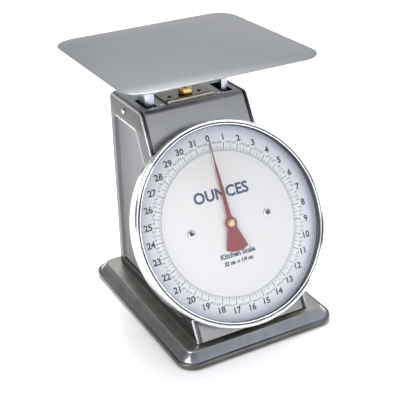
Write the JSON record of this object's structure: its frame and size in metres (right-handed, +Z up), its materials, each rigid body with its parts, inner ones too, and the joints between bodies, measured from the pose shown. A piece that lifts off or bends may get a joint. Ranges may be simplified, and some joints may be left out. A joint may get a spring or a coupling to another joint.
{
  "type": "mechanical dial platform scale",
  "caption": "Mechanical spring scale: flat platform over a pressed steel column with a round tilted dial, full-turn pointer, zero nut and rack-driven movement.",
  "frame": {"origin": "on the bench, under the centre of the footprint of platform and base", "axes": "+Z up, +Y towards the back of the scale, the dial faces -Y and leans back"},
  "size_m": [0.222, 0.2618, 0.2895],
  "materials": {
    "brushed_stainless": "brushed",
    "zinc_plated": "satin",
    "chrome_plated": "polished",
    "brass": "turned",
    "black_rubber": "matte",
    "dial_enamel": "satin",
    "pointer_red": "painted satin",
    "clear_lens": "polished",
    "spring_steel": "oiled"
  },
  "bodies": {
    "housing": {"base_pan": "brushed_stainless", "front_cover": "brushed_stainless", "side_panel_left": "brushed_stainless", "side_panel_right": "brushed_stainless", "rear_cover": "brushed_stainless", "top_pad": "brushed_stainless", "dial_can": "brushed_stainless", "upper_link_rear_pin": "zinc_plated", "lower_link_rear_pin": "zinc_plated", "chassis_cheek_left": "zinc_plated", "chassis_cheek_right": "zinc_plated", "chassis_tie": "zinc_plated", "movement_bracket": "zinc_plated", "dial_pillar_left": "zinc_plated", "dial_pillar_right": "zinc_plated", "dial_washer_left": "zinc_plated", "dial_washer_right": "zinc_plated", "dial_screw_left": "zinc_plated", "dial_screw_right": "zinc_plated", "side_screw_left": "zinc_plated", "side_screw_right": "zinc_plated", "rear_screw_1": "zinc_plated", "rear_screw_2": "zinc_plated", "rear_screw_3": "zinc_plated", "rear_screw_4": "zinc_plated", "top_rivet_1": "zinc_plated", "top_rivet_2": "zinc_plated", "bezel": "chrome_plated", "bush_front": "brass", "bush_rear": "brass", "foot_front_left": "black_rubber", "foot_front_right": "black_rubber", "foot_rear_left": "black_rubber", "foot_rear_right": "black_rubber", "lens_gasket": "black_rubber", "dial_plate": "dial_enamel", "lens": "clear_lens", "spring_left": "spring_steel", "spring_right": "spring_steel", "zero_washer": "spring_steel", "overload_stop": "spring_steel", "pad_screw_1": "spring_steel", "pad_screw_2": "spring_steel"},
    "carriage": {"post_left": "zinc_plated", "post_right": "zinc_plated", "carriage_bar": "zinc_plated", "platform_bracket": "zinc_plated", "platform": "brushed_stainless", "upper_link_front_pin": "zinc_plated", "lower_link_front_pin": "zinc_plated", "rack_arm": "zinc_plated", "rack": "brass"},
    "pointer": {"pointer": "pointer_red", "pointer_screw": "brass", "pinion_shaft": "zinc_plated"},
    "zero_nut": {"zero_nut": "brass"},
    "spring_hanger": {"zero_screw": "spring_steel", "spring_hanger": "zinc_plated"},
    "upper_link": {"upper_link": "zinc_plated"},
    "lower_link": {"lower_link": "zinc_plated"}
  },
  "joints": [
    {"name": "platform_travel", "type": "slide", "parent": "housing", "child": "carriage", "axis": [0, 0, -1], "range_m": [0, 0.0107], "stiffness_N_per_m": 832, "springref_m": -0.0105, "deforming": ["spring_left", "spring_right"]},
    {"name": "pointer_turn", "type": "hinge", "parent": "housing", "child": "pointer", "pos_m": [0, -0.064, 0.1203], "axis": [0, 0.8805, -0.4741], "range_deg": [0, 360]},
    {"name": "upper_link_swing", "type": "hinge", "parent": "housing", "child": "upper_link", "pos_m": [0, 0.08, 0.19], "axis": [1, 0, 0], "range_deg": [0, 11.5]},
    {"name": "lower_link_swing", "type": "hinge", "parent": "housing", "child": "lower_link", "pos_m": [0, 0.08, 0.15], "axis": [1, 0, 0], "range_deg": [0, 11.5]},
    {"name": "zero_nut_turn", "type": "hinge", "parent": "housing", "child": "zero_nut", "pos_m": [0, 0.0275, 0.241], "axis": [0, 0, 1], "range_deg": [-545, 545]},
    {"name": "zero_screw_slide", "type": "slide", "parent": "housing", "child": "spring_hanger", "axis": [0, 0, 1], "range_m": [-0.00105, 0.00105]}
  ],
  "couplings": [
    {"joint": "pointer_turn", "follows": "platform_travel", "rad_per_m": 587},
    {"joint": "upper_link_swing", "follows": "platform_travel", "rad_per_m": 18.52},
    {"joint": "lower_link_swing", "follows": "platform_travel", "rad_per_m": 18.52},
    {"joint": "zero_nut_turn", "follows": "zero_screw_slide", "rad_per_m": -8976}
  ]
}
